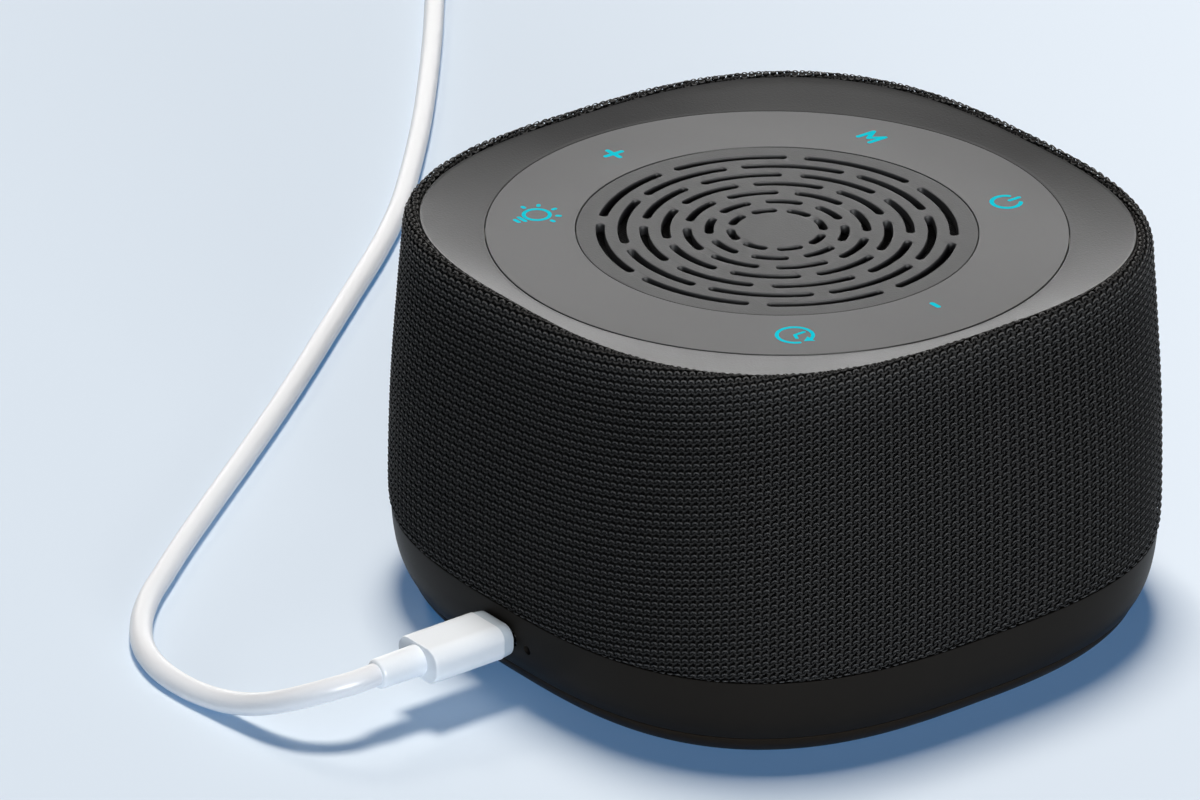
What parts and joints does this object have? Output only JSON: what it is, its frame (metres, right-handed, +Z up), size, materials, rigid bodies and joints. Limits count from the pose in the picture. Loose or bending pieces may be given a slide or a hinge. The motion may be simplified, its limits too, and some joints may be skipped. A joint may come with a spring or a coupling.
{
  "type": "white noise sound machine",
  "caption": "Bedside sound machine: knit-covered squircle body, dished top with a flat touch ring round a slotted speaker grille, black base with a USB-C port and its white lead.",
  "frame": {"origin": "on the floor under the middle of the body", "axes": "+Z up; the USB-C port and pinhole are on the -Y face, and the symbols on top read upright seen from that side"},
  "size_m": [0.4245, 0.2583, 0.0724],
  "materials": {
    "knit_black": "open knit mesh, matte",
    "shell_black": "moulded, matte",
    "panel_grey": "fine spark texture, matte",
    "ring_grey": "smooth, matte",
    "symbol_cyan": "lit from behind, satin",
    "grille_grey": "fine texture, matte",
    "acoustic_cloth": "woven, matte",
    "circuit_board": "solder mask, satin",
    "copper": "bright",
    "led_white": "clear",
    "diffuser": "frosted",
    "foam_black": "closed-cell foam",
    "basket_black": "satin paint",
    "surround_rubber": "matte",
    "cone_paper": "pressed pulp",
    "spider_cloth": "resin-treated cotton",
    "steel_plate": "zinc plated",
    "ferrite": "sintered, matte",
    "tag_board": "pressed board",
    "screw_steel": "zinc plated",
    "base_black": "fine texture, satin",
    "cover_black": "satin",
    "foot_rubber": "matte",
    "chip_black": "moulded",
    "pipe_smoke": "polished",
    "cell_wrap": "shrink film",
    "wire_red": "satin",
    "wire_black": "satin",
    "ribbon_grey": "satin",
    "plug_white": "satin",
    "jacket_white": "satin",
    "plug_steel": "bright nickel",
    "tie_black": "hook and loop strap"
  },
  "bodies": {
    "housing": {"fabric_cover": "knit_black", "side_shell": "shell_black", "top_panel": "panel_grey", "touch_ring": "ring_grey", "touch_icons": "symbol_cyan", "speaker_grille": "grille_grey", "grille_cloth": "acoustic_cloth", "touch_board": "circuit_board", "touch_electrodes": "copper", "key_leds": "led_white", "light_ring": "diffuser", "night_leds": "led_white", "speaker_gasket": "foam_black", "speaker_basket": "basket_black", "cone_surround": "surround_rubber", "spider": "spider_cloth", "front_pole_plate": "steel_plate", "speaker_magnet": "ferrite", "back_pole_plate": "steel_plate", "speaker_terminals": "tag_board", "speaker_screws": "screw_steel", "base_housing": "base_black", "bottom_cover": "cover_black", "foot_ring": "foot_rubber", "cover_screws": "screw_steel", "shell_screws": "screw_steel", "panel_screws": "screw_steel", "main_board": "circuit_board", "board_parts": "chip_black", "usb_socket": "plug_steel", "board_screws": "screw_steel", "indicator_light": "pipe_smoke", "battery_cell": "cell_wrap", "battery_cradle": "shell_black", "battery_lead": "wire_red", "speaker_lead": "wire_black", "touch_ribbon": "ribbon_grey"},
    "cone": {"speaker_cone": "cone_paper", "dust_cap": "cone_paper", "voice_coil": "copper"},
    "lead": {"plug_shell": "plug_steel", "plug_overmold": "plug_white", "plug_collar": "plug_white", "cable_tube": "jacket_white", "cable_coil": "jacket_white", "cable_tail": "jacket_white", "cable_tie": "tie_black", "usb_a_collar": "plug_white", "usb_a_overmold": "plug_white", "usb_a_shell": "plug_steel", "usb_a_tongue": "plug_white"}
  },
  "joints": [
    {"name": "cone_travel", "type": "slide", "parent": "housing", "child": "cone", "axis": [0, 0, 1], "range_m": [-0.0015, 0.0015], "stiffness_N_per_m": 1500, "deforming": ["cone_surround", "spider"]},
    {"name": "lead_unplug", "type": "slide", "parent": "housing", "child": "lead", "axis": [0, -1, 0], "range_m": [0, 0.014]}
  ]
}
